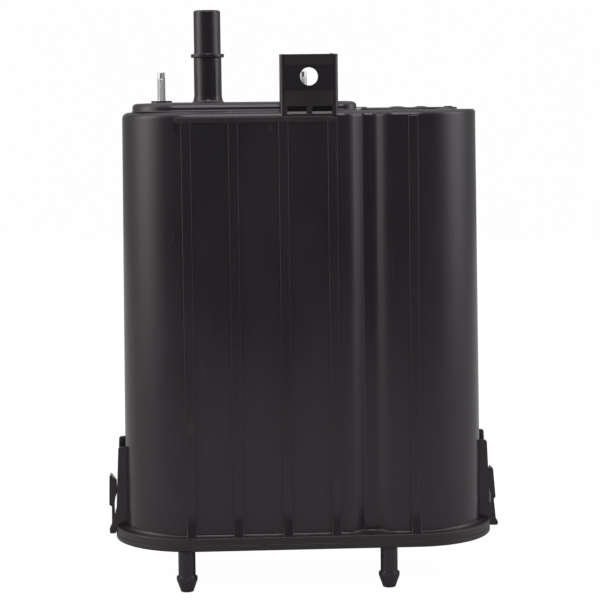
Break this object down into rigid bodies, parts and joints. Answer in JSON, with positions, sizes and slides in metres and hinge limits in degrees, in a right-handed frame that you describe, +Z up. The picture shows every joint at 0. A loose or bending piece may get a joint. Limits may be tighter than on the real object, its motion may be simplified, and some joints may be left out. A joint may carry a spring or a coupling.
{
  "type": "charcoal canister",
  "caption": "Black nylon fuel vapour charcoal canister with a tank port, threaded studs, mounting tab, ribs, end latches and locating posts.",
  "frame": {"origin": "centre of the cover's flat underside, the face that sits down on the vehicle's bracket", "axes": "+Z up along the port, +X along the long side towards the small vent chamber, -Y towards the front with the mounting tab and the locating posts"},
  "size_m": [0.2344, 0.1119, 0.337],
  "materials": {
    "black_nylon": "moulded satin black glass-filled nylon",
    "zinc_plated_steel": "bright zinc plating",
    "spring_steel": "drawn wire",
    "activated_carbon": "loose black pellets",
    "filter_felt": "needled polyester felt",
    "plate_plastic": "moulded dark grey plastic"
  },
  "bodies": {
    "root": {"bottom_cover": "black_nylon", "canister_body": "black_nylon", "main_carbon_bed": "activated_carbon", "main_lower_filter": "filter_felt", "main_pressure_plate": "plate_plastic", "main_spring_1": "spring_steel", "main_spring_2": "spring_steel", "main_spring_3": "spring_steel", "main_spring_4": "spring_steel", "main_top_grid": "plate_plastic", "main_upper_filter": "filter_felt", "tab_side_stud": "zinc_plated_steel", "tank_side_stud": "zinc_plated_steel", "vent_carbon_bed": "activated_carbon", "vent_lower_filter": "filter_felt", "vent_pressure_plate": "plate_plastic", "vent_spring_1": "spring_steel", "vent_spring_2": "spring_steel", "vent_top_grid": "plate_plastic", "vent_upper_filter": "filter_felt"}
  },
  "joints": []
}
